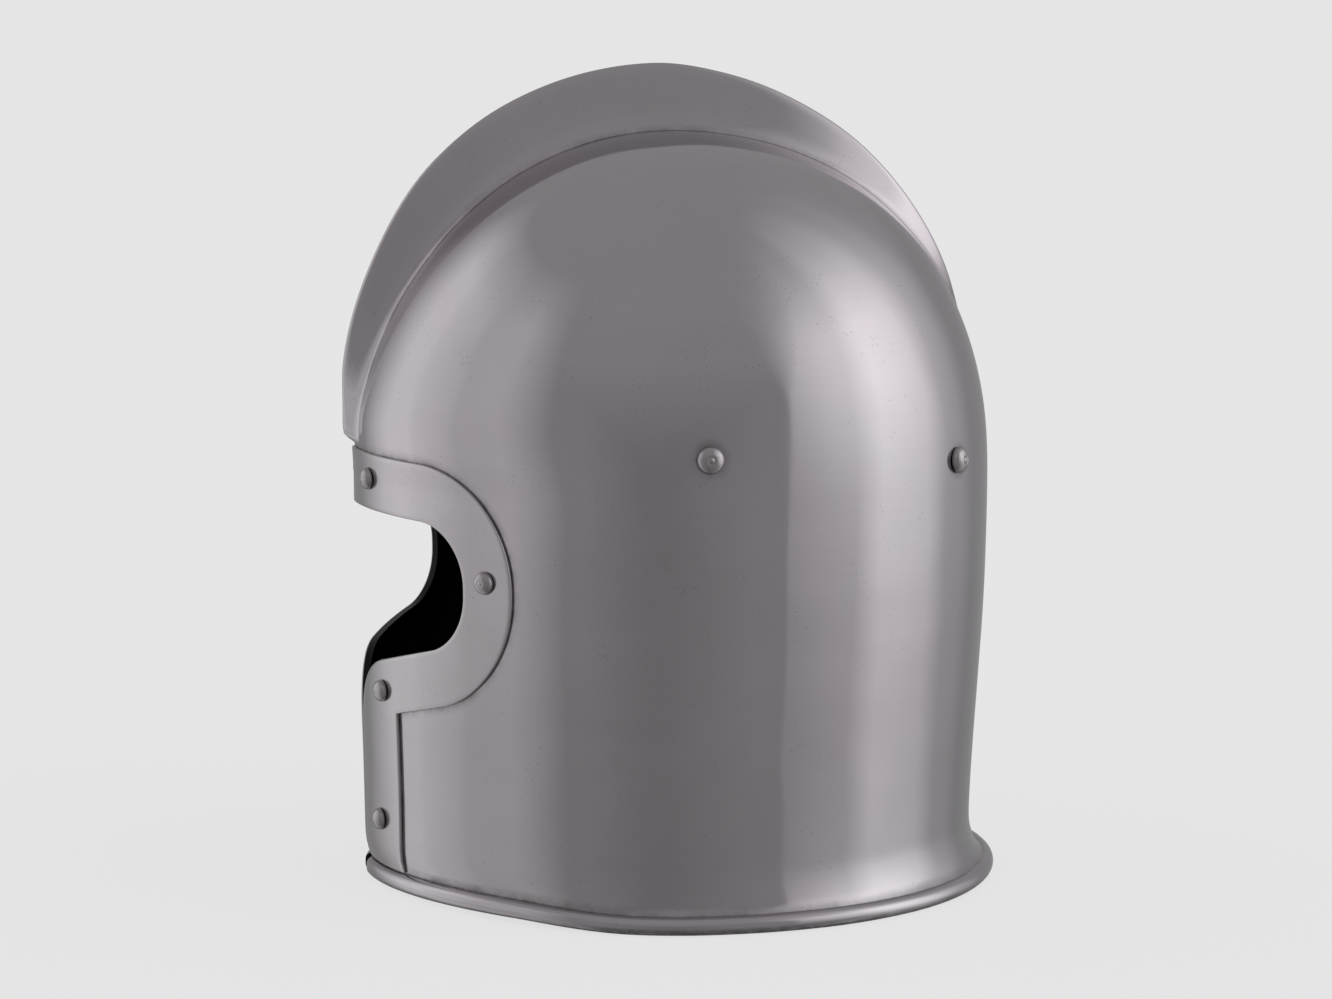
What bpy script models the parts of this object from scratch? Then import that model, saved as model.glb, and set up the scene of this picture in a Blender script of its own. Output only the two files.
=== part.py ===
"""Barbute: a steel helmet with a combed skull, a T-shaped face opening and a riveted face band.

The helmet stands on its rolled rim. Z is up, -Y is the wearer's front, +X the wearer's left side.
Lengths are in metres. The origin is on the ground, under the middle of the equator.
"""
import math
from bisect import bisect_right

import bmesh
import bpy
from mathutils import Matrix, Vector

# Skull: the steel sheet, its widest ring (the equator) and the dome above it
SHEET = 0.0018
HALF_WIDTH = 0.104
FRONT_REACH = 0.1198
REAR_REACH = 0.1180
EQUATOR = 0.148
DOME_RISE = 0.1272
FRONT_FULLNESS = 1.97
REAR_FULLNESS = 2.20
KEEL = 0.42

# Walls: how far they draw in below the brow and towards the rim, and how the neck flares again
SIDE_TAPER = 0.0020
FRONT_TAPER = 0.0032
BROW_TOP = 0.176
BROW_STEP = 0.0029
REAR_TAPER = 0.0049
FLARE_HEIGHT = 0.024
NAPE_FLARE = 0.0048
SIDE_FLARE = 0.0012
FRONT_TUCK = 0.0024

# Rim: the sheet rolled outward round a wire; it lies flat, and rises a little beside the face
RIM_RISE = 0.0014
RIM_RISE_TOP = math.radians(48.0)
RIM_RISE_END = math.radians(80.0)
RIM_DIP = 0.0006
ROLL_RADIUS = 0.0033
ROLL_SIDES = 10

# Comb: the raised ridge along the middle, hollow up to its solid edge
COMB_HEIGHT = 0.0250
COMB_ROOT = 0.0080
COMB_EDGE = 0.0060
COMB_START = math.radians(5.7)
COMB_NOSE = math.radians(7.6)

# Comb seen from the side: degrees along the arch from brow to nape, share of its height
COMB_ARCH = (
    (5.7, 0.000),
    (7.6, 0.175),
    (11.5, 0.200),
    (18.7, 0.350),
    (34.5, 0.590),
    (53.0, 0.875),
    (65.0, 0.955),
    (78.0, 0.993),
    (87.0, 1.000),
    (97.0, 0.908),
    (112.0, 0.690),
    (136.0, 0.305),
    (148.0, 0.145),
    (166.0, 0.000),
)

# Section of the comb from ridge to root: share of its height, share of its root's half width
COMB_SECTION = (
    (1.00, 0.00),
    (0.98, 0.17),
    (0.88, 0.29),
    (0.58, 0.38),
    (0.24, 0.55),
    (0.06, 0.76),
    (0.00, 1.00),
)

# Face opening, drawn on the unrolled wall: distance round from the middle, and height
EYE_LEVEL = 0.110
EYE_REACH = 0.0746
EYE_RADIUS = 0.0215
BROW_HEIGHT = 0.1393
BROW_FALL = 0.035
CHEEK_HEIGHT = 0.0783
CHEEK_RISE = 0.237
CHEEK_RADIUS = 0.0300
SLOT_HALF = 0.0035

# Face band, riveted round the opening
BAND_SHEET = 0.0013
BAND_GAP = 0.0005
BROW_BAND = 0.0203
EYE_BAND = 0.0206
UNDER_EYE_BAND = 0.0207
CHEEK_BAND = 0.0330
BAND_FOOT_GAP = 0.0006

# Rivets: domed head, shank through a clearance hole, tail peened over inside
RIVET_GAP = 0.0003
TAIL_GAP = 0.0005
HOLE_CLEARANCE = 0.0003
RIVET_SIDES = 10
RIVET_SIZES = {
    "band": {"head": 0.0039, "rise": 0.0026, "shank": 0.0017, "tail": 0.0029},
    "liner": {"head": 0.0047, "rise": 0.0027, "shank": 0.0020, "tail": 0.0034},
}
TAIL_RISE = 0.0010

# Rivets of one side: name, kind, distance round from the middle of the face, height
RIVETS = (
    ("brow", "band", 0.0203, 0.1498),
    ("eye", "band", 0.0845, 0.1187),
    ("cheek_upper", "band", 0.0270, 0.0734),
    ("cheek_lower", "band", 0.0221, 0.0252),
    ("side", "liner", 0.1649, 0.1633),
    ("rear", "liner", 0.2720, 0.1585),
)

# Steps of the faceted surface
BELT_EDGE = 0.62
BELT_STEPS = 5
RISE_STEPS = 5
SIDE_STEPS = 16
WALL_STEPS = 6
FLARE_STEPS = 3
LEG_STEP = 0.0085
CORNER_STEPS = 6
BAND_STEPS = 3

STEEL = {"colour": (0.36, 0.35, 0.35, 1.0), "roughness": 0.34, "metallic": 1.0}
BAND_STEEL = {"colour": (0.38, 0.37, 0.37, 1.0), "roughness": 0.32, "metallic": 1.0}
RIVET_STEEL = {"colour": (0.33, 0.32, 0.32, 1.0), "roughness": 0.36, "metallic": 1.0}

CENTRE = Vector((0.0, 0.0, EQUATOR))
ROLL_OUT = ROLL_RADIUS - SHEET
ROLL_HALF_ANGLE = math.pi / ROLL_SIDES
ROLL_LEVEL = ROLL_RADIUS * math.cos(ROLL_HALF_ANGLE)
ROLL_SEAM = ROLL_LEVEL + math.sqrt(ROLL_RADIUS ** 2 - ROLL_OUT ** 2)
ROLL_TOP = ROLL_LEVEL + ROLL_RADIUS
COMB_LINES = len(COMB_SECTION) - 1


def clear_scene():
    for old in list(bpy.data.objects):
        bpy.data.objects.remove(old, do_unlink=True)


def new_collection(name):
    collection = bpy.data.collections.new(name)
    bpy.context.scene.collection.children.link(collection)
    return collection


def steel(name, finish):
    material = bpy.data.materials.new(name)
    material.use_nodes = True
    shader = material.node_tree.nodes["Principled BSDF"]
    shader.inputs["Base Color"].default_value = finish["colour"]
    shader.inputs["Roughness"].default_value = finish["roughness"]
    shader.inputs["Metallic"].default_value = finish["metallic"]
    return material


def clamp(value):
    return min(max(value, 0.0), 1.0)


def ease(value):
    value = clamp(value)
    return value * value * (3.0 - 2.0 * value)


def mix(first, second, share):
    return first + (second - first) * share


def plan_size(height):
    """Half width, front reach and rear reach of the wall at a height."""
    down = clamp((EQUATOR - height) / EQUATOR)
    half_width = HALF_WIDTH - SIDE_TAPER * ease(down / 0.80)
    brow = ease((BROW_TOP - height) / (BROW_TOP - EQUATOR))
    front = FRONT_REACH - BROW_STEP * brow - FRONT_TAPER * ease(down)
    rear = REAR_REACH - REAR_TAPER * ease(down / 0.90) ** 1.5
    return half_width, front, rear


def level(point):
    """Below zero inside the skull's outer face and above zero outside it."""
    half_width, front, rear = plan_size(point.z)
    lengthwise = point.y / (front if point.y < 0.0 else rear)
    crown = clamp((point.z - EQUATOR) / DOME_RISE)
    keel = KEEL * ease(-lengthwise / 0.60) * (1.0 - crown)
    fullness = mix(FRONT_FULLNESS, REAR_FULLNESS, ease((lengthwise + 1.0) / 2.0))
    plan = (abs(point.x) / half_width) ** (2.0 - keel) + lengthwise ** 2
    return plan ** (fullness / 2.0) + crown ** fullness - 1.0


def cast(origin, direction):
    """The point of the outer face on a ray from inside the skull."""
    near = 0.0
    far = 2.0 * (HALF_WIDTH + FRONT_REACH + REAR_REACH + DOME_RISE)
    for _ in range(28):
        middle = (near + far) / 2.0
        if level(origin + direction * middle) < 0.0:
            near = middle
        else:
            far = middle
    return origin + direction * near


def normal_at(point):
    """Outward normal of the face, from the slope of its level."""
    step = 0.0001
    slope = Vector((0.0, 0.0, 0.0))
    for axis in range(3):
        shift = Vector((0.0, 0.0, 0.0))
        shift[axis] = step
        slope[axis] = level(point + shift) - level(point - shift)
    if abs(point.x) < step / 10.0:
        slope.x = 0.0
    return slope.normalized()


def rim_rise(direction):
    """How far the rim lies above the ground, in a direction from the helmet's axis."""
    angle = math.atan2(abs(direction.x), -direction.y)
    rise = RIM_RISE * ease((RIM_RISE_END - angle) / (RIM_RISE_END - RIM_RISE_TOP))
    return rise - RIM_DIP * ease(1.0 - angle / RIM_RISE_TOP)


def flare(direction, height):
    """How far the neck's flare carries the wall outward."""
    above_rim = height - rim_rise(direction)
    share = clamp((FLARE_HEIGHT - above_rim) / (FLARE_HEIGHT - ROLL_SEAM)) ** 2.6
    if direction.y > 0.0:
        return share * mix(SIDE_FLARE, NAPE_FLARE, ease(direction.y))
    return share * mix(SIDE_FLARE, -FRONT_TUCK, ease(-direction.y))


def wall_point(direction, height, outward=0.0):
    """A point of the wall, or of a face set outward from it."""
    point = cast(Vector((0.0, 0.0, height)), direction)
    return point + direction * flare(direction, height) + normal_at(point) * outward


def arch_height(angle):
    """Height of the comb along the arch, from the brow over the top to the nape."""
    place = math.degrees(angle)
    index = bisect_right([mark for mark, _ in COMB_ARCH], place)
    if index in (0, len(COMB_ARCH)):
        return 0.0
    (first, low), (last, high) = COMB_ARCH[index - 1:index + 1]
    return COMB_HEIGHT * mix(low, high, (place - first) / (last - first))


def belt_direction(across, angle):
    """Unit direction on the belt that runs over the skull beside the comb."""
    round_part = math.sqrt(1.0 - across * across)
    return Vector((across, -round_part * math.cos(angle), round_part * math.sin(angle)))


def side_direction(along, up):
    """Unit direction on the cap at the wearer's side, from a square of side 2 by 1."""
    reach = math.sqrt(1.0 - BELT_EDGE * BELT_EDGE)
    y = reach * along * math.sqrt(1.0 - up * up / 2.0)
    z = reach * up * math.sqrt(1.0 - along * along / 2.0)
    return Vector((math.sqrt(1.0 - y * y - z * z), y, z))


def belt_lines():
    """Distances of the belt's lines from the middle plane: the comb's lines, then even ones."""
    root = COMB_ROOT / HALF_WIDTH
    lines = [root * index / COMB_LINES for index in range(COMB_LINES + 1)]
    for index in range(1, BELT_STEPS + 1):
        lines.append(mix(root, BELT_EDGE, index / BELT_STEPS))
    return lines


def rise_marks():
    """Heights of the side cap's rows on its square; two rows meet the comb's start and its nose."""
    start = math.sqrt(2.0) * math.sin(COMB_START)
    nose = math.sqrt(2.0) * math.sin(COMB_NOSE)
    return [0.0, start] + [mix(nose, 1.0, step / RISE_STEPS) for step in range(RISE_STEPS + 1)]


def square_edge():
    """The side cap's outline on its square, from the front round the top to the rear."""
    marks = rise_marks()
    edge = [(-1.0, mark) for mark in marks[:-1]]
    edge += [(2.0 * index / SIDE_STEPS - 1.0, 1.0) for index in range(SIDE_STEPS + 1)]
    edge += [(1.0, mark) for mark in reversed(marks[:-1])]
    return edge


def dome_point(direction, inward):
    point = cast(CENTRE, direction)
    if inward:
        return point - normal_at(point) * inward
    return point


def comb_point(index, line, angle, inward):
    """A point of the comb; inside, its groove stops short of the solid edge."""
    height_share, width_share = COMB_SECTION[index]
    height = arch_height(angle)
    width = width_share * COMB_ROOT
    if inward:
        height = max(height - COMB_EDGE, 0.0)
        width = max(width - SHEET, 0.00012 * index)
    flat = dome_point(belt_direction(line, angle), inward)
    raised = dome_point(belt_direction(width / HALF_WIDTH, angle), inward)
    raised.x = width
    raised += belt_direction(0.0, angle) * (height * height_share)
    return flat.lerp(raised, ease(height / (0.2 * COMB_HEIGHT)))


def skin_patches(inward):
    """Grids of points over half the dome: the belt with the comb, and the side cap."""
    lines = belt_lines()
    belt = []
    for along, up in square_edge():
        side = side_direction(along, up)
        angle = math.atan2(side.z, -side.y)
        row = [comb_point(index, lines[index], angle, inward) for index in range(COMB_LINES + 1)]
        row += [dome_point(belt_direction(line, angle), inward) for line in lines[COMB_LINES + 1:]]
        belt.append(row)
    cap = []
    for mark in rise_marks():
        row = []
        for step in range(SIDE_STEPS + 1):
            direction = side_direction(2.0 * step / SIDE_STEPS - 1.0, mark)
            row.append(dome_point(direction, inward))
        cap.append(row)
    return belt, cap


def plan_directions():
    """Directions of the wall's columns, from the front middle round one side to the rear."""
    lines = belt_lines()
    front = [belt_direction(line, 0.0) for line in lines]
    side = [side_direction(2.0 * step / SIDE_STEPS - 1.0, 0.0) for step in range(1, SIDE_STEPS)]
    rear = [belt_direction(line, math.pi) for line in reversed(lines)]
    directions = front + side + rear
    for direction in directions:
        direction.z = 0.0
    return directions


def wall_heights(direction):
    """Heights down one column of the wall, from the equator to the roll's seam."""
    flare_top = FLARE_HEIGHT + rim_rise(direction)
    seam = ROLL_SEAM + rim_rise(direction)
    heights = [mix(EQUATOR, flare_top, step / WALL_STEPS) for step in range(WALL_STEPS)]
    heights += [mix(flare_top, seam, step / FLARE_STEPS) for step in range(FLARE_STEPS + 1)]
    return heights


def roll_section():
    """Outward distance and height round the rolled rim, from its seam to its inner side."""
    section = []
    for side in range(1, ROLL_SIDES - 1):
        angle = math.radians(90.0) + ROLL_HALF_ANGLE - side * 2.0 * ROLL_HALF_ANGLE
        section.append((ROLL_OUT + ROLL_RADIUS * math.cos(angle), ROLL_LEVEL + ROLL_RADIUS * math.sin(angle)))
    return section


def wall_rows():
    """Rows of points down the outer wall, round the roll and up the inner wall."""
    section = roll_section()
    columns = []
    for direction in plan_directions():
        heights = wall_heights(direction)
        column = [wall_point(direction, height) for height in heights]
        for outward, height in section:
            point = wall_point(direction, heights[-1], outward)
            point.z = height + rim_rise(direction)
            column.append(point)
        column += [wall_point(direction, height, -SHEET) for height in reversed(heights)]
        columns.append(column)
    return list(zip(*columns))


def add_grid(mesh, rows):
    """Quads over rows of points; neighbours are welded afterwards."""
    grid = [[mesh.verts.new(point) for point in row] for row in rows]
    for upper, lower in zip(grid, grid[1:]):
        for index in range(len(upper) - 1):
            mesh.faces.new((upper[index], lower[index], lower[index + 1], upper[index + 1]))


def finish_half(name, mesh, collection, material):
    """Weld a half that is open at the middle plane, and mirror it."""
    bmesh.ops.remove_doubles(mesh, verts=mesh.verts, dist=0.00001)
    bmesh.ops.dissolve_degenerate(mesh, edges=mesh.edges, dist=0.000001)
    bmesh.ops.recalc_face_normals(mesh, faces=mesh.faces)
    data = bpy.data.meshes.new(name)
    mesh.to_mesh(data)
    mesh.free()
    data.materials.append(material)
    data.shade_smooth()
    data.set_sharp_from_angle(angle=math.radians(35.0))
    part = bpy.data.objects.new(name, data)
    collection.objects.link(part)
    mirror = part.modifiers.new("both sides", "MIRROR")
    mirror.use_axis = (True, False, False)
    mirror.merge_threshold = 0.00001
    return part


def make_skull(collection):
    mesh = bmesh.new()
    for inward in (0.0, SHEET):
        belt, cap = skin_patches(inward)
        add_grid(mesh, belt)
        add_grid(mesh, cap)
    add_grid(mesh, wall_rows())
    return finish_half("skull", mesh, collection, steel("skull_steel", STEEL))


def plan_ruler():
    """Distance round the wall at eye level, beside the direction it is reached in."""
    steps = 180
    ruler = [(0.0, Vector((0.0, -1.0, 0.0)))]
    last = wall_point(ruler[0][1], EYE_LEVEL)
    for step in range(1, steps + 1):
        angle = math.pi * step / steps
        direction = Vector((math.sin(angle), -math.cos(angle), 0.0))
        point = wall_point(direction, EYE_LEVEL)
        ruler.append((ruler[-1][0] + (point - last).length, direction))
        last = point
    return ruler


RULER = plan_ruler()


def direction_round(distance):
    """Direction from the helmet's axis to a distance round the wall."""
    index = min(bisect_right([mark for mark, _ in RULER], distance), len(RULER) - 1)
    before, after = RULER[index - 1], RULER[index]
    share = (distance - before[0]) / (after[0] - before[0])
    return before[1].lerp(after[1], share).normalized()


def face_point(distance, height, outward=0.0):
    return wall_point(direction_round(distance), height, outward)


def face_corners(brow, rear, under, front, foot):
    """Corners (distance, height, radius) of the opening, or of a line these margins outside it."""
    reach = EYE_REACH + rear
    edge = SLOT_HALF + front
    radius = EYE_RADIUS + rear
    cheek = CHEEK_HEIGHT - under
    foot += rim_rise(direction_round(edge))
    return (
        (0.0, BROW_HEIGHT + brow, 0.0),
        (reach, BROW_HEIGHT + brow - BROW_FALL * reach, radius),
        (reach, cheek + CHEEK_RISE * reach, radius),
        (edge, cheek + CHEEK_RISE * edge, max(CHEEK_RADIUS - front, 0.0)),
        (edge, foot, 0.0),
    )


def rounded_path(corners, leg_counts):
    """Points along a line with its corners turned as arcs; each leg has its own count of steps."""
    spots = [Vector((distance, height)) for distance, height, _ in corners]
    cuts = [0.0] * len(spots)
    for index in range(1, len(spots) - 1):
        before = (spots[index - 1] - spots[index]).normalized()
        after = (spots[index + 1] - spots[index]).normalized()
        half = before.angle(after) / 2.0
        cuts[index] = corners[index][2] / math.tan(half)
    for index in range(len(spots) - 1):
        room = 0.98 * (spots[index + 1] - spots[index]).length
        wanted = cuts[index] + cuts[index + 1]
        if wanted > room:
            cuts[index] *= room / wanted
            cuts[index + 1] *= room / wanted
    path = [spots[0]]
    for index in range(1, len(spots)):
        leg = (spots[index] - spots[index - 1]).normalized()
        start = path[-1]
        end = spots[index] - leg * cuts[index]
        for step in range(1, leg_counts[index - 1] + 1):
            path.append(start.lerp(end, step / leg_counts[index - 1]))
        if index == len(spots) - 1:
            break
        onward = (spots[index + 1] - spots[index]).normalized()
        half = (math.pi - leg.angle(onward)) / 2.0
        inward = (onward - leg).normalized() * (cuts[index] / math.cos(half))
        centre = spots[index] + inward
        start_arm = end - centre
        finish_arm = spots[index] + onward * cuts[index] - centre
        for step in range(1, CORNER_STEPS + 1):
            if cuts[index] == 0.0:
                path.append(spots[index].copy())
                continue
            arm = start_arm.normalized().slerp(finish_arm.normalized(), step / CORNER_STEPS)
            path.append(centre + arm * start_arm.length)
    return path


def leg_counts(corners):
    """Steps for each leg, short enough to follow the wall's curve."""
    counts = []
    for first, second in zip(corners, corners[1:]):
        length = math.dist(first[:2], second[:2]) - first[2] - second[2]
        counts.append(max(round(length / LEG_STEP), 1))
    return counts


def opening_path(foot):
    corners = face_corners(0.0, 0.0, 0.0, 0.0, foot)
    return rounded_path(corners, leg_counts(corners))


def band_paths():
    """The band's inner line, along the opening, and its outer line, with matching points."""
    foot = ROLL_TOP + BAND_FOOT_GAP
    inner = face_corners(0.0, 0.0, 0.0, 0.0, foot)
    outer = face_corners(BROW_BAND, EYE_BAND, UNDER_EYE_BAND, CHEEK_BAND, foot)
    counts = leg_counts(inner)
    return rounded_path(inner, counts), rounded_path(outer, counts)


def make_face_band(collection):
    inner, outer = band_paths()
    mesh = bmesh.new()
    section = []
    for side in range(BAND_STEPS + 1):
        section.append((side / BAND_STEPS, BAND_GAP + BAND_SHEET))
    for side in reversed(range(BAND_STEPS + 1)):
        section.append((side / BAND_STEPS, BAND_GAP))
    section.append(section[0])
    rows = []
    for near, far in zip(inner, outer):
        row = []
        for share, outward in section:
            spot = near.lerp(far, share)
            row.append(face_point(spot.x, spot.y, outward))
        rows.append(row)
    add_grid(mesh, rows)
    end = rows[-1]
    outer_end = end[:BAND_STEPS + 1]
    inner_end = end[BAND_STEPS + 1:-1]
    inner_end.reverse()
    add_grid(mesh, [outer_end, inner_end])
    return finish_half("face_band", mesh, collection, steel("band_steel", BAND_STEEL))


def make_opening_cutter(collection):
    """A tube through the front of the skull, square to the wall along the opening's line."""
    reach_out = 0.012
    half = opening_path(-reach_out)
    loops = []
    for depth in (-reach_out, reach_out):
        left = [face_point(spot.x, spot.y, depth) for spot in half]
        right = [Vector((-point.x, point.y, point.z)) for point in reversed(left[1:])]
        loops.append(left + right)
    back_plane = -0.20 * FRONT_REACH
    front_plane = -1.30 * FRONT_REACH
    back = [Vector((0.9 * point.x, back_plane, point.z)) for point in loops[0]]
    front = [Vector((point.x, front_plane, point.z)) for point in loops[1]]
    loops = [back] + loops + [front]
    mesh = bmesh.new()
    rings = [[mesh.verts.new(point) for point in loop] for loop in loops]
    for first, second in zip(rings, rings[1:]):
        for index in range(len(first)):
            after = (index + 1) % len(first)
            mesh.faces.new((first[index], first[after], second[after], second[index]))
    mesh.faces.new(rings[0])
    mesh.faces.new(rings[-1])
    bmesh.ops.recalc_face_normals(mesh, faces=mesh.faces)
    return add_cutter("opening_cutter", mesh, collection)


def add_cutter(name, mesh, collection):
    data = bpy.data.meshes.new(name)
    mesh.to_mesh(data)
    mesh.free()
    cutter = bpy.data.objects.new(name, data)
    cutter.hide_render = True
    cutter.display_type = "WIRE"
    collection.objects.link(cutter)
    return cutter


def cut(part, cutter):
    boolean = part.modifiers.new(cutter.name, "BOOLEAN")
    boolean.operation = "DIFFERENCE"
    boolean.solver = "EXACT"
    boolean.object = cutter


def rivet_places():
    """Name, kind and frame of every rivet; the frame's Z points out of the steel."""
    places = []
    for name, kind, distance, height in RIVETS:
        seat = BAND_GAP + BAND_SHEET if kind == "band" else 0.0
        for side, sign in (("left", 1.0), ("right", -1.0)):
            point = face_point(distance, height, seat)
            outward = normal_at(face_point(distance, height))
            point.x *= sign
            outward.x *= sign
            frame = outward.to_track_quat("Z", "Y").to_matrix().to_4x4()
            places.append((f"rivet_{name}_{side}", kind, Matrix.Translation(point) @ frame))
    return places


def make_hole_cutter(collection):
    """One clearance cylinder for each rivet's shank."""
    mesh = bmesh.new()
    for _, kind, frame in rivet_places():
        radius = RIVET_SIZES[kind]["shank"] + HOLE_CLEARANCE
        bmesh.ops.create_cone(
            mesh, cap_ends=True, segments=RIVET_SIDES, radius1=radius, radius2=radius,
            depth=8.0 * (SHEET + BAND_SHEET), matrix=frame)
    return add_cutter("hole_cutter", mesh, collection)


def rivet_mesh(kind, material):
    """Profile of a rivet, from the top of its head to the end of its tail."""
    size = RIVET_SIZES[kind]
    through = SHEET + RIVET_GAP + TAIL_GAP
    if kind == "band":
        through += BAND_SHEET + BAND_GAP
    mesh = bmesh.new()
    profile = []
    for share in (0.0, 0.33, 0.63, 0.86, 1.0):
        angle = share * math.pi / 2.0
        rise = size["rise"] * (0.15 + 0.85 * math.cos(angle))
        profile.append((size["head"] * math.sin(angle), RIVET_GAP + rise))
    profile.append((size["head"] * 0.98, RIVET_GAP))
    bottom = RIVET_GAP - through
    profile.append((size["shank"], RIVET_GAP))
    profile.append((size["shank"], bottom))
    profile.append((size["tail"], bottom))
    profile.append((size["tail"] * 0.7, bottom - TAIL_RISE))
    profile.append((0.0, bottom - TAIL_RISE))
    points = [mesh.verts.new((radius, 0.0, height)) for radius, height in profile]
    for first, second in zip(points, points[1:]):
        mesh.edges.new((first, second))
    data = bpy.data.meshes.new(f"{kind}_rivet")
    mesh.to_mesh(data)
    mesh.free()
    data.materials.append(material)
    return data


def make_rivets(collection):
    material = steel("rivet_steel", RIVET_STEEL)
    meshes = {kind: rivet_mesh(kind, material) for kind in RIVET_SIZES}
    for name, kind, frame in rivet_places():
        rivet = bpy.data.objects.new(name, meshes[kind])
        rivet.matrix_world = frame
        collection.objects.link(rivet)
        turn = rivet.modifiers.new("turn", "SCREW")
        turn.axis = "Z"
        turn.steps = RIVET_SIDES
        turn.render_steps = RIVET_SIDES
        turn.use_merge_vertices = True
        turn.merge_threshold = 0.00001
        turn.use_smooth_shade = True


def main():
    clear_scene()
    parts = new_collection("barbute")
    cutters = new_collection("cutters")
    skull = make_skull(parts)
    band = make_face_band(parts)
    holes = make_hole_cutter(cutters)
    cut(skull, make_opening_cutter(cutters))
    cut(skull, holes)
    cut(band, holes)
    make_rivets(parts)


main()
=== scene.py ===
"""Looks of the steel barbute: its hand-worked skull, face band and rivets, the studio and the camera."""

import math

import bmesh
import bpy
import numpy as np
from mathutils import Matrix, Vector, noise


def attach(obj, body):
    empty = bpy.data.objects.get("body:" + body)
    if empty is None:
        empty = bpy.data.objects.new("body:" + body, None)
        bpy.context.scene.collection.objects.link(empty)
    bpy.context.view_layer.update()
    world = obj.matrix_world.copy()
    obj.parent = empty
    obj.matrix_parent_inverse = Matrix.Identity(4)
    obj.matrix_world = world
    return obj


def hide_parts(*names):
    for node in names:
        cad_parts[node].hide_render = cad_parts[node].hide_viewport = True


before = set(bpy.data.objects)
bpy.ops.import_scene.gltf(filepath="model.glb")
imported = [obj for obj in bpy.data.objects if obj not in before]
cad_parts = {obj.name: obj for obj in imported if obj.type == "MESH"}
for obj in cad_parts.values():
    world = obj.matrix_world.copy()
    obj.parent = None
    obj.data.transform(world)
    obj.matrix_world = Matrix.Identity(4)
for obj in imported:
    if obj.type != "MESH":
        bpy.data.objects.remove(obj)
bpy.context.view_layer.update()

# The skull's form, in metres. The sizes are those of the part's source, except for the nape's flare, the
# tuck in front, the rim's rise and dip, the comb's height and section, the band's sheet and gap, and how
# far the rivet heads rise
SHEET = 0.0018
HALF_WIDTH = 0.104
FRONT_REACH = 0.1198
REAR_REACH = 0.1180
EQUATOR = 0.148
DOME_RISE = 0.1272
FRONT_FULLNESS = 1.97
REAR_FULLNESS = 2.20
KEEL = 0.42
SIDE_TAPER = 0.0020
FRONT_TAPER = 0.0032
BROW_TOP = 0.176
BROW_STEP = 0.0029
REAR_TAPER = 0.0049
FLARE_HEIGHT = 0.024
NAPE_FLARE = 0.0047
SIDE_FLARE = 0.0012
FRONT_TUCK = 0.0020
TUCK_POWER = 5.0

# The rolled rim
RIM_RISE = 0.0014
RIM_RISE_TOP = math.radians(48.0)
RIM_RISE_END = math.radians(75.0)
RIM_DIP = 0.0011
ROLL_RADIUS = 0.0033
ROLL_OUT = ROLL_RADIUS - SHEET
ROLL_FILLET = 0.0008
ROLL_SQUARE = 0.35
ROLL_FRONT = 0.70
ROLL_SQUARE_END = math.radians(40.0)
ROLL_LEVEL = ROLL_RADIUS * math.cos(math.radians(18.0))
ROLL_START = math.acos((ROLL_FILLET - ROLL_OUT) / ROLL_RADIUS)
ROLL_SEAM = ROLL_LEVEL + ROLL_RADIUS * math.sin(ROLL_START)
ROLL_TOP = ROLL_LEVEL + ROLL_RADIUS

# The comb: its arch as degrees from brow to nape and share of its height, and its section from
# ridge to root as shares of its height and of its half width
COMB_HEIGHT = 0.0244
COMB_ROOT = 0.0080
COMB_EDGE = 0.0060
COMB_START = math.radians(5.7)
COMB_NOSE_END = math.radians(12.0)
COMB_ARCH = np.array((
    (5.7, 0.0), (7.6, 0.175), (11.5, 0.200), (18.7, 0.350), (34.5, 0.590), (53.0, 0.875), (65.0, 0.955),
    (78.0, 0.993), (87.0, 1.0), (97.0, 0.908), (112.0, 0.690), (136.0, 0.305), (148.0, 0.145), (166.0, 0.0)))
COMB_SECTION = np.array((
    (1.00, 0.00), (0.985, 0.12), (0.90, 0.22), (0.58, 0.43), (0.24, 0.66), (0.06, 0.84), (0.00, 1.00)))

# The face opening and its band, on the unrolled wall
EYE_LEVEL = 0.110
EYE_REACH = 0.0746
EYE_RADIUS = 0.0215
BROW_HEIGHT = 0.1393
BROW_FALL = 0.035
CHEEK_HEIGHT = 0.0783
CHEEK_RISE = 0.237
CHEEK_RADIUS = 0.0300
SLOT_HALF = 0.0035
BAND_SHEET = 0.0012
BAND_GAP = 0.0001
BROW_BAND = 0.0203
EYE_BAND = 0.0206
UNDER_EYE_BAND = 0.0207
CHEEK_BAND = 0.0330
BAND_FOOT_GAP = 0.0006
BAND_UNDER = 0.00005
BAND_EDGE = 0.00050

# The rivets: sizes by kind, then name, kind, distance round and height of one side's
RIVET_SIZES = {
    "band": {"head": 0.0039, "rise": 0.0031, "shank": 0.0017, "tail": 0.0029, "strike": 0.00012},
    "liner": {"head": 0.0047, "rise": 0.0035, "shank": 0.0020, "tail": 0.0034, "strike": 0.00030},
}
RIVETS = (
    ("brow", "band", 0.0203, 0.1498),
    ("eye", "band", 0.0845, 0.1187),
    ("cheek_upper", "band", 0.0270, 0.0734),
    ("cheek_lower", "band", 0.0221, 0.0252),
    ("side", "liner", 0.1649, 0.1633),
    ("rear", "liner", 0.2720, 0.1585),
)
RIVET_SEAT = 0.0002
TAIL_RISE = 0.0010
TAIL_GAP = 0.0005

# Waves that the hammer leaves in the sheet, broad to fine, and flats on the rivet heads
BROAD_WAVE = 0.00016
SMALL_WAVE = 0.00014
FINE_WAVE = 0.00004
HAMMER_DEPTH = 0.00012
HAMMER_SCALE = 350.0

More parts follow.
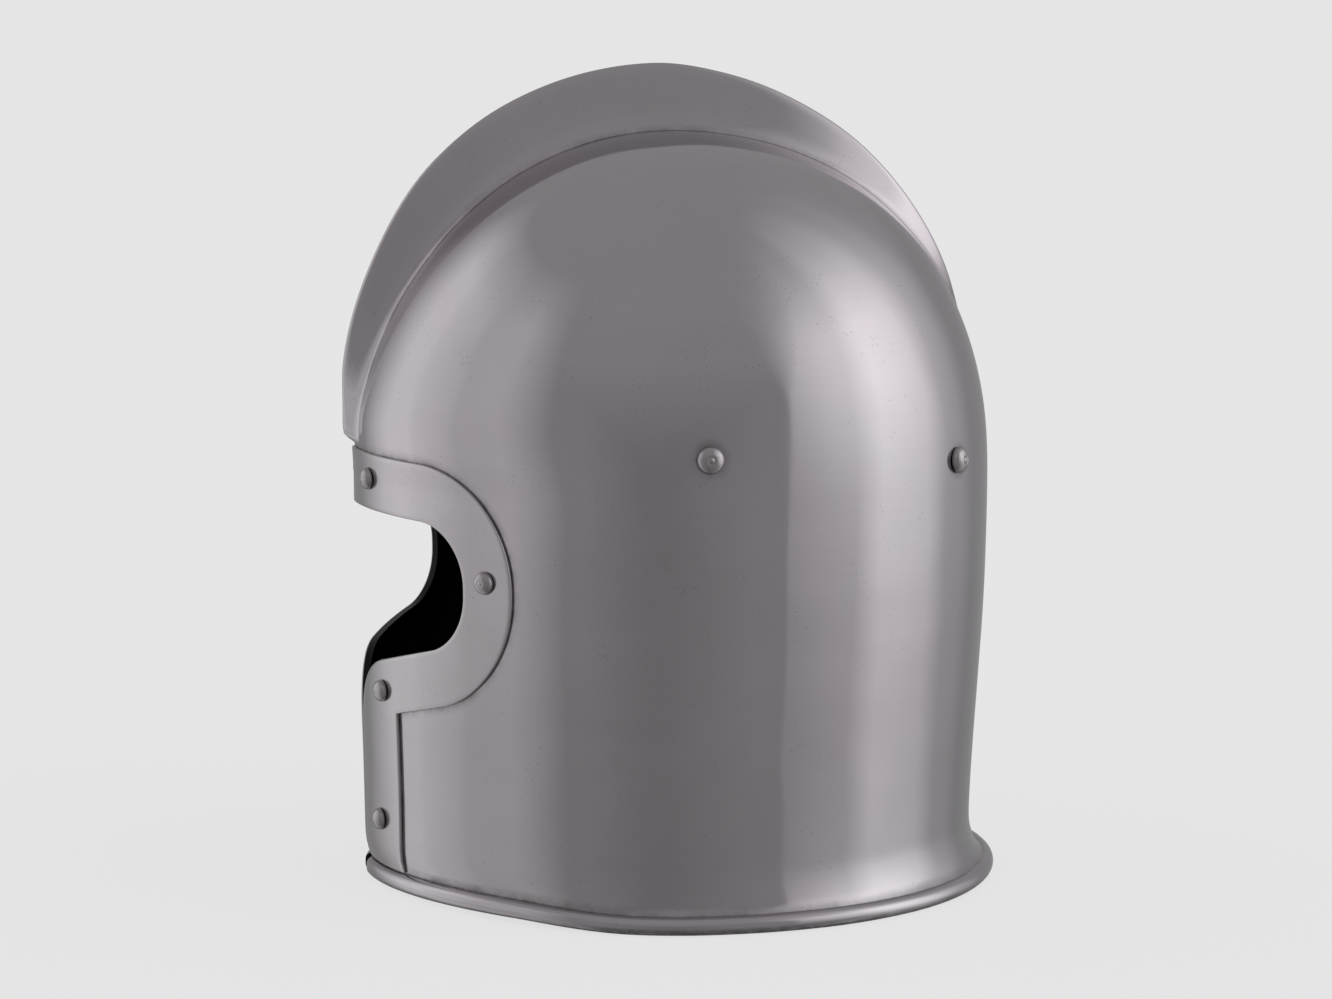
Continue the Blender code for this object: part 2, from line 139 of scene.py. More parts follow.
# Steps of the fine mesh
COMB_STEPS = 4
BELT_EDGE = 0.62
BELT_STEPS = 22
START_STEPS = 3
NOSE_STEPS = 10
RISE_STEPS = 22
SIDE_STEPS = 72
WALL_STEPS = 40
FLARE_STEPS = 12
ROLL_STEPS = 30
LEG_STEP = 0.003
CORNER_STEPS = 20
BAND_STEPS = 12
BAND_EDGE_STEPS = 4
RIVET_TURN_STEPS = 48
HEAD_STEPS = 22

# The steels: colour, roughness, scale of the polishing lines along and across them and how strong they
# are, scale of the dull patches, and how far out of a seam its residue and painted shade reach
STEELS = {
    "satin_skull_steel": {
        "colour": (0.552, 0.508, 0.544, 1.0), "roughness": 0.075, "along": 26.0, "across": 1500.0,
        "brush": 0.5, "patches": 15.0, "corner_reach": 0.0034},
    "satin_band_steel": {
        "colour": (0.565, 0.525, 0.555, 1.0), "roughness": 0.16, "along": 34.0, "across": 1300.0,
        "brush": 0.5, "patches": 34.0, "corner_reach": 0.0006},
    "hammered_rivet_steel": {
        "colour": (0.480, 0.446, 0.470, 1.0), "roughness": 0.21, "along": 300.0, "across": 700.0,
        "brush": 0.6, "patches": 180.0, "corner_reach": 0.0006},
}
PIT_COLOUR = (0.10, 0.095, 0.09, 1.0)
# Residue with painted shade, mixed into the steel in seams and corners
RESIDUE_AND_SHADE_COLOUR = (0.040, 0.036, 0.034, 1.0)
PAINT_COLOUR = (0.0030, 0.0030, 0.0032, 1.0)
PAINT_DUST_COLOUR = (0.0060, 0.0058, 0.0056, 1.0)

# The studio: the room's brightness, and its soft panels with where each starts and ends round the helmet
# in degrees from its left side towards its back, how soft its edges are, and how bright; then the lamp in
# the rear box, the box's near edge in degrees, the walls, their darker foot and the ceiling
ROOM = 0.32
PANELS = {
    "front_box": (-135.0, -100.0, 12.0, 0.90),
    "front_fill": (-100.0, -62.0, 9.0, 0.60),
    "dark_behind_camera": (-30.0, 8.0, 14.0, 0.25),
    "rear_box": (62.0, 97.0, 6.0, 0.64),
    "rear_fill": (97.0, 120.0, 6.0, 0.42),
}
LAMP_DIRECTION = (0.371, 0.844, 0.388)
LAMP_TIGHTNESS = 5.0
LAMP_STRENGTH = 0.79
BOX_EDGE_START = 31.5
BOX_EDGE_END = 32.2
BOX_EDGE_SOFTENING = 14.0
WALL_BASE = 0.24
WALL_HIGH = 0.355
FOOT_SHARE = 0.76
CEILING = (0.37, 0.37, 0.37, 1.0)
BACKDROP = (0.784, 0.784, 0.784, 1.0)
FLOOR_COLOUR = (0.18, 0.18, 0.18, 1.0)
FLOOR_GLOW = 0.70
FLOOR_REACH = 40.0

# The camera, in degrees and metres
CAMERA_TURN = 80.6
CAMERA_TILT = 6.6
CAMERA_ROLL = 0.3
CAMERA_TARGET = (0.0, -0.0022, 0.1382)
CAMERA_DISTANCE = 1.05
CAMERA_LENS = 75.97
CAMERA_SENSOR = 36.0

CENTRE = np.array((0.0, 0.0, EQUATOR))


def clamp(value):
    return np.clip(value, 0.0, 1.0)


def ease(value):
    value = clamp(value)
    return value * value * (3.0 - 2.0 * value)


def mix(first, second, share):
    return first + (second - first) * share


def unit(vectors):
    return vectors / np.linalg.norm(vectors, axis=-1, keepdims=True)


def plan_size(height):
    """Half width, front reach and rear reach of the wall at a height."""
    down = clamp((EQUATOR - height) / EQUATOR)
    half_width = HALF_WIDTH - SIDE_TAPER * ease(down / 0.80)
    brow = ease((BROW_TOP - height) / (BROW_TOP - EQUATOR))
    front = FRONT_REACH - BROW_STEP * brow - FRONT_TAPER * ease(down)
    rear = REAR_REACH - REAR_TAPER * ease(down / 0.90) ** 1.5
    return half_width, front, rear


def level(points):
    """Below zero inside the skull's outer face and above zero outside it."""
    x, y, z = np.moveaxis(points, -1, 0)
    half_width, front, rear = plan_size(z)
    lengthwise = y / np.where(y < 0.0, front, rear)
    crown = clamp((z - EQUATOR) / DOME_RISE)
    keel = KEEL * ease(-lengthwise / 0.60) * (1.0 - crown)
    fullness = mix(FRONT_FULLNESS, REAR_FULLNESS, ease((lengthwise + 1.0) / 2.0))
    plan = (np.abs(x) / half_width) ** (2.0 - keel) + lengthwise ** 2
    return plan ** (fullness / 2.0) + crown ** fullness - 1.0


def cast(origins, directions):
    """Points of the outer face on rays from inside the skull."""
    shape = np.broadcast_shapes(origins.shape, directions.shape)
    near = np.zeros(shape[:-1])
    far = np.full(shape[:-1], 0.6)
    for _ in range(34):
        middle = (near + far) / 2.0
        inside = level(origins + directions * middle[..., None]) < 0.0
        near = np.where(inside, middle, near)
        far = np.where(inside, far, middle)
    return origins + directions * near[..., None]


def normal_at(points):
    """Outward normals of the face, from the slope of its level."""
    step = 0.0001
    slope = np.zeros(points.shape)
    for axis in range(3):
        shift = np.zeros(3)
        shift[axis] = step
        slope[..., axis] = level(points + shift) - level(points - shift)
    slope[..., 0] = np.where(np.abs(points[..., 0]) < step / 10.0, 0.0, slope[..., 0])
    return unit(slope)


def hand_work(points):
    """The slight waves that hammering and polishing leave in the sheet, the same on both sides."""
    flat = points.reshape(-1, 3)
    waves = np.empty(len(flat))
    for index, (x, y, z) in enumerate(flat):
        x = abs(x)
        broad = noise.noise(Vector((15.0 * x + 3.0, 15.0 * y, 11.0 * z)))
        small = noise.noise(Vector((42.0 * x, 42.0 * y + 7.0, 30.0 * z)))
        fine = noise.noise(Vector((55.0 * x + 5.0, 55.0 * y, 72.0 * z)))
        waves[index] = BROAD_WAVE * broad + SMALL_WAVE * small + FINE_WAVE * fine
    return waves.reshape(points.shape[:-1])


def rim_rise(directions):
    """How far the rim lies above the ground, in directions from the helmet's axis."""
    angle = np.arctan2(np.abs(directions[..., 0]), -directions[..., 1])
    rise = RIM_RISE * ease((RIM_RISE_END - angle) / (RIM_RISE_END - RIM_RISE_TOP))
    return rise - RIM_DIP * ease(1.0 - angle / RIM_RISE_TOP)


def flare(directions, heights):
    """How far the neck's flare carries the wall outward, and the tuck in front carries it inward."""
    above_rim = heights - rim_rise(directions)
    down = clamp((FLARE_HEIGHT - above_rim) / (FLARE_HEIGHT - ROLL_SEAM))
    share = down ** 2.6
    y = directions[..., 1]
    rear = share * mix(SIDE_FLARE, NAPE_FLARE, ease(y))
    front = mix(SIDE_FLARE * share, -FRONT_TUCK * down ** TUCK_POWER, ease(-y))
    return np.where(y > 0.0, rear, front)


def wall_point(directions, heights, outward=0.0):
    """Points of the wall, or of a face set outward from it."""
    directions, heights, outward = np.asarray(directions), np.asarray(heights), np.asarray(outward)
    shape = np.broadcast_shapes(directions.shape[:-1], heights.shape, outward.shape)
    directions = np.broadcast_to(directions, shape + (3,))
    heights = np.broadcast_to(heights, shape)
    outward = np.broadcast_to(outward, shape)
    origins = np.zeros(shape + (3,))
    origins[..., 2] = heights
    points = cast(origins, directions)
    away = outward + hand_work(points)
    return points + directions * flare(directions, heights)[..., None] + normal_at(points) * away[..., None]


def arch_height(angle):
    """Height of the comb along the arch, from the brow over the top to the nape, without a kink."""
    marks, shares = COMB_ARCH.T
    step = np.diff(marks)
    slope = np.diff(shares) / step
    before, after = slope[:-1], slope[1:]
    even = np.where(before * after > 0.0, 2.0 * before * after / (before + after + 1e-12), 0.0)
    tilt = np.concatenate((slope[:1], even, (0.0,)))
    place = np.clip(np.degrees(angle), marks[0], marks[-1])
    leg = np.clip(np.searchsorted(marks, place) - 1, 0, len(step) - 1)
    t = (place - marks[leg]) / step[leg]
    bend = (tilt[leg] - slope[leg]) * t * (1.0 - t) ** 2 + (slope[leg] - tilt[leg + 1]) * t ** 2 * (1.0 - t)
    return COMB_HEIGHT * (mix(shares[leg], shares[leg + 1], t) + bend * step[leg])


def belt_direction(across, angle):
    """Unit directions on the belt that runs over the skull beside the comb."""
    across, angle = np.broadcast_arrays(across, angle)
    round_part = np.sqrt(1.0 - across * across)
    return np.stack((across, -round_part * np.cos(angle), round_part * np.sin(angle)), axis=-1)


def side_direction(along, up):
    """Unit directions on the cap at the wearer's side, from a square of side 2 by 1."""
    along, up = np.broadcast_arrays(along, up)
    reach = math.sqrt(1.0 - BELT_EDGE * BELT_EDGE)
    y = reach * along * np.sqrt(1.0 - up * up / 2.0)
    z = reach * up * np.sqrt(1.0 - along * along / 2.0)
    return np.stack((np.sqrt(1.0 - y * y - z * z), y, z), axis=-1)


def comb_places():
    """Places on the comb's section, counted in its legs from the ridge."""
    legs = len(COMB_SECTION) - 1
    return np.linspace(0.0, legs, legs * COMB_STEPS + 1)


def comb_section(places):
    """Height and width shares at places on the comb's section, on a smooth line through it."""
    ridge = COMB_SECTION[1] * (1.0, -1.0)
    root = COMB_SECTION[-1] * (1.0, 1.0) + (0.0, 0.25)
    knots = np.vstack((ridge, COMB_SECTION, root))
    leg = np.minimum(places.astype(int), len(COMB_SECTION) - 2)
    share = (places - leg)[:, None]
    p0, p1, p2, p3 = (knots[leg + step] for step in range(4))
    curve = (p2 - p0) * share + (2.0 * p0 - 5.0 * p1 + 4.0 * p2 - p3) * share ** 2
    curve += (3.0 * p1 - p0 - 3.0 * p2 + p3) * share ** 3
    return (p1 + curve / 2.0).T


def belt_lines():
    """Distances of the belt's lines from the middle plane: the comb's lines, then even ones."""
    root = COMB_ROOT / HALF_WIDTH
    comb = root * comb_places() / (len(COMB_SECTION) - 1)
    return comb, np.linspace(root, BELT_EDGE, BELT_STEPS + 1)[1:]


def rise_marks():
    """Heights of the side cap's rows on its square, close together at the comb's nose."""
    start, nose_end = (math.sqrt(2.0) * math.sin(angle) for angle in (COMB_START, COMB_NOSE_END))
    return np.concatenate((
        np.linspace(0.0, start, START_STEPS + 1)[:-1], np.linspace(start, nose_end, NOSE_STEPS + 1)[:-1],
        np.linspace(nose_end, 1.0, RISE_STEPS + 1)))


def square_edge():
    """The side cap's outline on its square, from the front round the top to the rear."""
    marks = rise_marks()[:-1]
    along = np.concatenate((
        np.full(len(marks), -1.0), np.linspace(-1.0, 1.0, SIDE_STEPS + 1), np.full(len(marks), 1.0)))
    up = np.concatenate((marks, np.ones(SIDE_STEPS + 1), marks[::-1]))
    return along, up


def dome_point(directions, inward=0.0):
    points = cast(CENTRE, directions)
    away = hand_work(points) - inward
    return points + normal_at(points) * away[..., None]


def comb_points(angle, inward):
    """Rows of points over the comb, one row for each angle along the arch."""
    places = comb_places()
    flat_lines, _ = belt_lines()
    height_share, width_share = comb_section(places)
    height = arch_height(angle)[:, None]
    width = np.maximum(width_share, 0.0) * COMB_ROOT
    if inward:
        height = np.maximum(height - COMB_EDGE, 0.0)
        width = np.maximum(width - SHEET, 0.00012 * places)
    flat = dome_point(belt_direction(flat_lines[None, :], angle[:, None]), inward)
    raised = dome_point(belt_direction(width[None, :] / HALF_WIDTH, angle[:, None]), inward)
    raised[..., 0] = width
    raised += belt_direction(0.0, angle)[:, None, :] * (height * height_share)[..., None]
    share = ease(height / (0.2 * COMB_HEIGHT))[..., None]
    return mix(flat, raised, share)


def comb_crease_shade(angle):
    """Weights for painted shade in the crease at the comb's root, strongest where the comb is high."""
    seam = np.zeros((len(angle), len(comb_places()) + BELT_STEPS))
    root = len(comb_places()) - 1
    high = ease(arch_height(angle) / (0.3 * COMB_HEIGHT))
    seam[:, root] = high
    seam[:, root - 1] = 0.45 * high
    return seam


def skin_patches(inward):
    """Grids of points over half the dome: the belt with the comb, and the side cap."""
    along, up = square_edge()
    side = side_direction(along, up)
    angle = np.arctan2(side[:, 2], -side[:, 1])
    _, lines = belt_lines()
    beside = dome_point(belt_direction(lines[None, :], angle[:, None]), inward)
    belt = np.concatenate((comb_points(angle, inward), beside), axis=1)
    spread = np.linspace(-1.0, 1.0, SIDE_STEPS + 1)
    cap = dome_point(side_direction(spread[None, :], rise_marks()[:, None]), inward)
    return (belt, comb_crease_shade(angle)), (cap, 0.0)


def plan_directions():
    """Directions of the wall's columns, from the front middle round one side to the rear."""
    lines = np.concatenate(belt_lines())
    front = belt_direction(lines, 0.0)
    side = side_direction(np.linspace(-1.0, 1.0, SIDE_STEPS + 1)[1:-1], 0.0)
    rear = belt_direction(lines[::-1], math.pi)
    directions = np.concatenate((front, side, rear))
    directions[:, 2] = 0.0
    return directions


def wall_patches():
    """Grids of half the wall: its outer face, the roll, and its inner face."""
    directions = plan_directions()
    rise = rim_rise(directions)
    flare_top = FLARE_HEIGHT + rise
    seam = ROLL_SEAM + rise
    steps = np.linspace(0.0, 1.0, WALL_STEPS + 1)[:-1, None]
    heights = mix(EQUATOR, flare_top[None, :], steps)
    steps = np.linspace(0.0, 1.0, FLARE_STEPS + 1)[:, None]
    heights = np.concatenate((heights, mix(flare_top[None, :], seam[None, :], steps)))
    fillet = ROLL_FILLET * clamp(1.0 - (heights - seam) / 0.004) ** 3
    outer = wall_point(directions[None], heights, fillet)
    inner = wall_point(directions[None], heights[::2], -SHEET)
    finish = math.radians(-180.0) - math.asin(ROLL_OUT / ROLL_RADIUS)
    angle = np.linspace(ROLL_START, finish, ROLL_STEPS + 1)[:, None]
    front = ease(1.0 - np.arctan2(np.abs(directions[:, 0]), -directions[:, 1]) / ROLL_SQUARE_END)
    power = 1.0 - ROLL_SQUARE * front * ease((math.radians(60.0) - angle) / math.radians(60.0))
    out = np.sign(np.cos(angle)) * np.abs(np.cos(angle)) ** power
    up = np.sign(np.sin(angle)) * np.abs(np.sin(angle)) ** power
    outward = ROLL_OUT + ROLL_RADIUS * out
    outward *= np.where(outward > ROLL_FILLET, mix(1.0, ROLL_FRONT, front), 1.0)
    roll = wall_point(directions[None], np.broadcast_to(seam, out.shape), outward)
    roll[..., 2] = ROLL_LEVEL + np.where(up > 0.0, ROLL_RADIUS, ROLL_LEVEL) * up + rise
    roll[0] = outer[-1]
    roll[-1] = inner[-1]
    return outer, roll, inner


def mesh_from_patches(name, patches, materials, mirrored=True):
    """Weld grids of points into one mesh; each comes with its material's slot and how far it is a seam, a
    weight that the steel darkens with painted shade.
    """
    spots, faces, slots, seams = [], [], [], []
    start = 0
    for sign in (1.0, -1.0) if mirrored else (1.0,):
        for points, slot, seam in patches:
            rows, columns = points.shape[:2]
            seams.append(np.broadcast_to(seam, (rows, columns)).ravel())
            spots.append(points.reshape(-1, 3) * (sign, 1.0, 1.0))
            corner = start + np.arange(rows - 1)[:, None] * columns + np.arange(columns - 1)[None, :]
            quads = np.stack((corner, corner + columns, corner + columns + 1, corner + 1), axis=-1)
            faces.append(quads.reshape(-1, 4)[:, ::int(sign)])
            slots += [slot] * len(faces[-1])
            start += rows * columns
    data = bpy.data.meshes.new(name)
    data.from_pydata(np.concatenate(spots).tolist(), [], np.concatenate(faces).tolist())
    data.polygons.foreach_set("material_index", slots)
    # The seam weight darkens the steel with painted shade along the comb's root crease
    data.attributes.new("seam", "FLOAT", "POINT").data.foreach_set("value", np.concatenate(seams))
    mesh = bmesh.new()
    mesh.from_mesh(data)
    bmesh.ops.remove_doubles(mesh, verts=mesh.verts, dist=0.00001)
    bmesh.ops.dissolve_degenerate(mesh, edges=mesh.edges, dist=0.000002)
    bmesh.ops.recalc_face_normals(mesh, faces=mesh.faces)
    mesh.to_mesh(data)
    mesh.free()
    data.shade_smooth()
    for material in materials:
        data.materials.append(material)
    piece = bpy.data.objects.new(name, data)
    bpy.context.scene.collection.objects.link(piece)
    return piece


def apply_modifiers(piece):
    """Replace a piece's mesh with what its modifiers make of it."""
    graph = bpy.context.evaluated_depsgraph_get()
    data = bpy.data.meshes.new_from_object(piece.evaluated_get(graph), depsgraph=graph)
    piece.modifiers.clear()
    piece.data = data


def plan_ruler():
    """Distances round the wall at eye level, beside the directions they are reached in."""
    angle = np.linspace(0.0, math.pi, 721)
    directions = np.stack((np.sin(angle), -np.cos(angle), np.zeros(len(angle))), axis=-1)
    points = wall_point(directions, EYE_LEVEL)
    legs = np.linalg.norm(np.diff(points, axis=0), axis=-1)
    return np.concatenate(((0.0,), np.cumsum(legs))), angle


RULER = plan_ruler()


def direction_round(distance):
    """Directions from the helmet's axis to distances round the wall."""
    angle = np.interp(distance, *RULER)
    return np.stack((np.sin(angle), -np.cos(angle), np.zeros(np.shape(angle))), axis=-1)


def face_point(distance, height, outward=0.0):
    return wall_point(direction_round(distance), height, outward)


def face_corners(brow, rear, under, front, foot):
    """Corners (distance, height, radius) of the opening, or of a line these margins outside it."""
    reach = EYE_REACH + rear
    edge = SLOT_HALF + front
    radius = EYE_RADIUS + rear
    cheek = CHEEK_HEIGHT - under
    foot += float(rim_rise(direction_round(edge)))
    return (
        (0.0, BROW_HEIGHT + brow, 0.0),
        (reach, BROW_HEIGHT + brow - BROW_FALL * reach, radius),
        (reach, cheek + CHEEK_RISE * reach, radius),
        (edge, cheek + CHEEK_RISE * edge, max(CHEEK_RADIUS - front, 0.0)),
        (edge, foot, 0.0),
    )


def rounded_path(corners, counts):
    """Points along a line with its corners turned as arcs; each leg has its own count of steps."""
    spots = [Vector(corner[:2]) for corner in corners]
    cuts = [0.0] * len(spots)
    for index in range(1, len(spots) - 1):
        before = spots[index - 1] - spots[index]
        after = spots[index + 1] - spots[index]
        cuts[index] = corners[index][2] / math.tan(before.angle(after) / 2.0)
    for index in range(len(spots) - 1):
        room = 0.98 * (spots[index + 1] - spots[index]).length
        wanted = cuts[index] + cuts[index + 1]
        if wanted > room:
            cuts[index] *= room / wanted
            cuts[index + 1] *= room / wanted
    path = [spots[0]]
    for index in range(1, len(spots)):
        leg = (spots[index] - spots[index - 1]).normalized()
        start = path[-1]
        end = spots[index] - leg * cuts[index]
        count = counts[index - 1]
        path += [start.lerp(end, step / count) for step in range(1, count + 1)]
        if index == len(spots) - 1:
            break
        if cuts[index] == 0.0:
            path += [spots[index].copy() for _ in range(CORNER_STEPS)]
            continue
        onward = (spots[index + 1] - spots[index]).normalized()
        half = (math.pi - leg.angle(onward)) / 2.0
        centre = spots[index] + (onward - leg).normalized() * (cuts[index] / math.cos(half))
        first = end - centre
        last = spots[index] + onward * cuts[index] - centre
        for step in range(1, CORNER_STEPS + 1):
            arm = first.normalized().slerp(last.normalized(), step / CORNER_STEPS)
            path.append(centre + arm * first.length)
    return np.array(path)


def leg_counts(corners):
    """Steps for each leg, short enough to follow the wall's curve."""
    counts = []
    for first, second in zip(corners, corners[1:]):
        length = math.dist(first[:2], second[:2]) - first[2] - second[2]
        counts.append(max(round(length / LEG_STEP), 1))
    return counts


def make_opening_cutter():
    """A tube through the front of the skull, square to the wall along the opening's line."""
    reach_out = 0.012
    corners = face_corners(0.0, 0.0, 0.0, 0.0, -reach_out)
    path = rounded_path(corners, leg_counts(corners))
    keep = np.concatenate(((True,), np.linalg.norm(np.diff(path, axis=0), axis=1) > 0.00002))
    path = path[keep]
    loops = []
    for depth in (-reach_out, reach_out):
        left = face_point(path[:, 0], path[:, 1], depth)
        loops.append(np.concatenate((left, left[:0:-1] * (-1.0, 1.0, 1.0))))
    back = loops[0] * (0.9, 0.0, 1.0) + (0.0, -0.20 * FRONT_REACH, 0.0)
    front = loops[1] * (1.0, 0.0, 1.0) + (0.0, -1.30 * FRONT_REACH, 0.0)
    mesh = bmesh.new()
    rings = [[mesh.verts.new(point) for point in loop] for loop in (back, *loops, front)]
    for first, second in zip(rings, rings[1:]):
        for index in range(len(first)):
            after = (index + 1) % len(first)
            mesh.faces.new((first[index], first[after], second[after], second[index]))
    mesh.faces.new(rings[0])
    mesh.faces.new(rings[-1])
    bmesh.ops.recalc_face_normals(mesh, faces=mesh.faces)
    for face in mesh.faces:
        face.material_index = 1
    data = bpy.data.meshes.new("opening_cutter")
    mesh.to_mesh(data)
    mesh.free()
    cutter = bpy.data.objects.new("opening_cutter", data)
    bpy.context.scene.collection.objects.link(cutter)
    return cutter


def make_skull(steel, paint):
    patches = []
    for inward, slot in ((0.0, 0), (SHEET, 1)):
        patches += [(patch, slot, seam) for patch, seam in skin_patches(inward)]
    outer, roll, inner = wall_patches()
    patches += [(outer, 0, 0.0), (roll, 0, 0.0), (inner, 1, 0.0)]
    skull = mesh_from_patches("skull_shell", patches, (steel, paint))
    cutter = make_opening_cutter()
    boolean = skull.modifiers.new("face opening", "BOOLEAN")
    boolean.operation = "DIFFERENCE"
    boolean.solver = "EXACT"
    boolean.object = cutter
    apply_modifiers(skull)
    bpy.data.objects.remove(cutter, do_unlink=True)
    for face in skull.data.polygons:
        if face.center.z < ROLL_LEVEL + ROLL_RADIUS and level(np.array(face.center)) > 0.0:
            face.material_index = 0
    skull.data.set_sharp_from_angle(angle=math.radians(42.0))
    return skull


def band_section():
    """Share across, distance out of the skull, and whether it rides on the outer edge."""
    low, high = BAND_UNDER, BAND_GAP + BAND_SHEET
    turn = np.radians(np.linspace(0.0, 90.0, BAND_EDGE_STEPS))
    across = np.linspace(0.0, 1.0, BAND_STEPS + 1)[1:-1]
    section = [(0.0, BAND_EDGE * (1.0 - math.cos(a)), high - BAND_EDGE * (1.0 - math.sin(a))) for a in turn]
    section += [(share, 0.0, high) for share in across]
    section += [(1.0, -BAND_EDGE * (1.0 - math.sin(a)), high - BAND_EDGE * (1.0 - math.cos(a))) for a in turn]
    section += [(share, 0.0, low) for share in (1.0, 0.5, 0.0)]
    section.append(section[0])
    return np.array(section)


def make_face_band(steel, paint):
    foot = ROLL_TOP + BAND_FOOT_GAP
    inner_corners = face_corners(0.0, 0.0, 0.0, 0.0, foot)
    outer_corners = face_corners(BROW_BAND, EYE_BAND, UNDER_EYE_BAND, CHEEK_BAND, foot)
    counts = leg_counts(inner_corners)
    inner = rounded_path(inner_corners, counts)
    outer = rounded_path(outer_corners, counts)
    share, step_in, outward = band_section().T
    across = outer - inner
    width = np.linalg.norm(across, axis=1)
    spot = inner[:, None] + across[:, None] * (share[None, :] + step_in[None, :] / width[:, None])[..., None]
    rows = face_point(spot[..., 0], spot[..., 1], outward)
    face = 2 * BAND_EDGE_STEPS + BAND_STEPS - 1
    end = np.stack((rows[-1, :face], rows[-1, [-2] + [-3] * (face - 2) + [-4]]))
    end[1] = mix(rows[-1, -2], rows[-1, -4], share[:face, None])
    patches = [(rows[:, :-1], 0, 0.0), (rows[:, -2:], 1, 0.0), (end, 0, 0.0)]
    band = mesh_from_patches("face_band_sheet", patches, (steel, paint))
    band.data.set_sharp_from_angle(angle=math.radians(40.0))
    return band


def rivet_profile(kind):
    """Radius and height from the top of a rivet's head to the end of its tail."""
    size = RIVET_SIZES[kind]
    angle = np.linspace(0.0, math.pi / 2.0, HEAD_STEPS)
    radius = size["head"] * np.sin(angle)
    height = RIVET_SEAT + size["rise"] * (0.13 + 0.87 * np.cos(angle) ** 0.85)
    ring = np.exp(-((radius / size["head"] - 0.24) / 0.08) ** 2)
    height -= size["strike"] * ring
    through = SHEET + TAIL_GAP + (BAND_SHEET + BAND_GAP if kind == "band" else 0.0)
    lower = (
        (size["head"] * 1.00, RIVET_SEAT + 0.10 * size["rise"]),
        (size["head"] * 0.96, RIVET_SEAT),
        (size["shank"], RIVET_SEAT),
        (size["shank"], -through),
        (size["tail"], -through),
        (size["tail"] * 0.96, -through - 0.4 * TAIL_RISE),
        (size["tail"] * 0.70, -through - TAIL_RISE),
        (0.0, -through - TAIL_RISE),
    )
    return np.concatenate((np.stack((radius, height), axis=1), lower))


def make_rivet(name, kind, distance, height, sign, steel):
    """One rivet, turned from its profile and dressed with a few flats from the hammer."""
    seat = BAND_GAP + BAND_SHEET if kind == "band" else 0.0
    point = face_point(distance, height, seat) * (sign, 1.0, 1.0)
    outward = normal_at(face_point(distance, height)) * (sign, 1.0, 1.0)
    profile = rivet_profile(kind)
    turn = np.linspace(0.0, 2.0 * math.pi, RIVET_TURN_STEPS + 1)
    radius, rise = profile.T
    rise = np.broadcast_to(rise[:, None], (len(rise), len(turn)))
    grid = np.stack((radius[:, None] * np.cos(turn), radius[:, None] * np.sin(turn), rise), axis=-1)
    shift = Vector((40.0 * distance, 90.0 * height, sign))
    for spot in grid[:HEAD_STEPS].reshape(-1, 3):
        spot[2] += HAMMER_DEPTH * noise.noise(HAMMER_SCALE * Vector(spot) + shift)
    piece = mesh_from_patches(f"{name}_steel", [(grid, 0, 0.0)], (steel,), mirrored=False)
    turned = Vector(outward).to_track_quat("Z", "Y").to_matrix().to_4x4()
    piece.data.transform(Matrix.Translation(point) @ turned)
    piece.data.set_sharp_from_angle(angle=math.radians(40.0))
    return piece


class NodeSheet:
    """Short hands for laying nodes on a node tree."""

    def __init__(self, tree):
        self.tree = tree
        self.nodes = tree.nodes

    def put(self, value, socket):
        if isinstance(value, bpy.types.NodeSocket):
            self.tree.links.new(value, socket)
        else:
            socket.default_value = value

    def add(self, kind, **inputs):
        node = self.nodes.new(kind)
        for name, value in inputs.items():
            self.put(value, node.inputs[name.replace("_", " ")])
        return node

    def math(self, operation, *values):
        node = self.nodes.new("ShaderNodeMath")
        node.operation = operation
        for socket, value in zip(node.inputs, values):
            self.put(value, socket)
        return node.outputs[0]

    def span(self, value, low, high, to_low=0.0, to_high=1.0):
        node = self.nodes.new("ShaderNodeMapRange")
        for socket, given in zip(node.inputs, (value, low, high, to_low, to_high)):
            self.put(given, socket)
        return node.outputs[0]

    def blend(self, share, first, second):
        node = self.nodes.new("ShaderNodeMix")
        node.data_type = "RGBA"
        for socket, given in ((node.inputs[0], share), (node.inputs[6], first), (node.inputs[7], second)):
            self.put(given, socket)
        return node.outputs[2]

    def noise(self, vector, scale, detail=2.0, roughness=0.5):
        node = self.add("ShaderNodeTexNoise", Vector=vector, Scale=scale, Detail=detail, Roughness=roughness)
        return node.outputs["Fac"]


def new_group(name, inputs, outputs):
    """A shader group with named number sockets; inputs come with their defaults."""
    tree = bpy.data.node_groups.new(name, "ShaderNodeTree")
    for label, value in inputs:
        socket = tree.interface.new_socket(label, in_out="INPUT", socket_type="NodeSocketFloat")
        socket.default_value = value
    for label in outputs:
        tree.interface.new_socket(label, in_out="OUTPUT", socket_type="NodeSocketFloat")
    sheet = NodeSheet(tree)
    return sheet, sheet.add("NodeGroupInput").outputs, sheet.add("NodeGroupOutput").inputs


